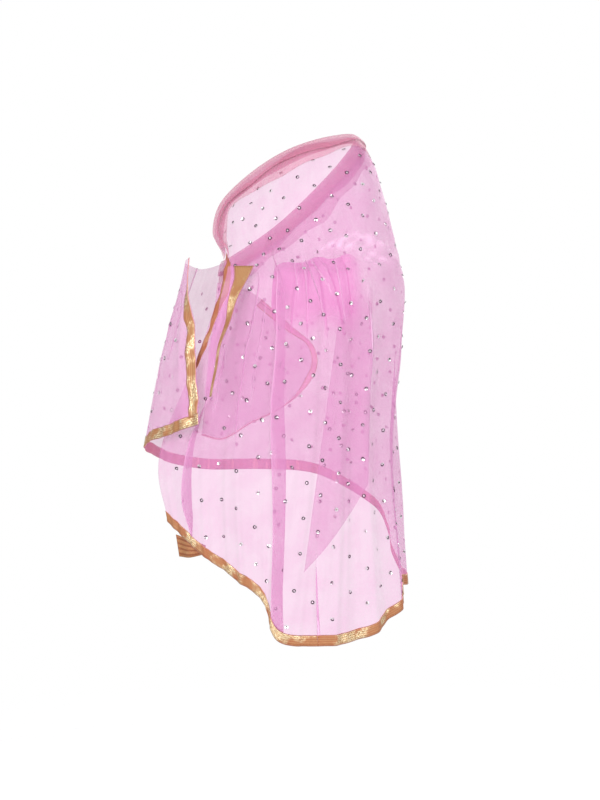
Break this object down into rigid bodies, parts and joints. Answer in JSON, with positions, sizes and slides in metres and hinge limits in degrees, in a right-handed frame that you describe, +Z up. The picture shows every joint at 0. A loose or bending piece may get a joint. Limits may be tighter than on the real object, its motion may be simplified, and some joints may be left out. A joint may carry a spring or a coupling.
{
  "type": "dupatta stole",
  "caption": "Sheer net dupatta with gold lace edges, worn over the left shoulder and arm, its end brought round the right side to the front",
  "frame": {"origin": "the point of the wearer's left shoulder that carries the cloth, just under it", "axes": "+Z up, -Y the way the wearer faces, +X the wearer's left"},
  "size_m": [0.5343, 0.5633, 1.1567],
  "materials": {
    "net": "sheer pink nylon net with small mirror sequins",
    "lace": "woven metallic gold lace edging"
  },
  "bodies": {
    "root": {"front_drape": "net", "back_drape": "net", "tail_drape": "net", "neck_fold": "net", "inner_fall": "net", "forearm_wrap": "net", "forearm_swag": "net", "forearm_leaf": "net", "front_hem_lace": "lace", "back_hem_lace": "lace", "tail_lace": "lace", "lead_lace": "lace", "swag_lace": "lace", "leaf_lace": "lace", "neck_lace": "lace", "lead_corner": "lace"}
  },
  "joints": []
}
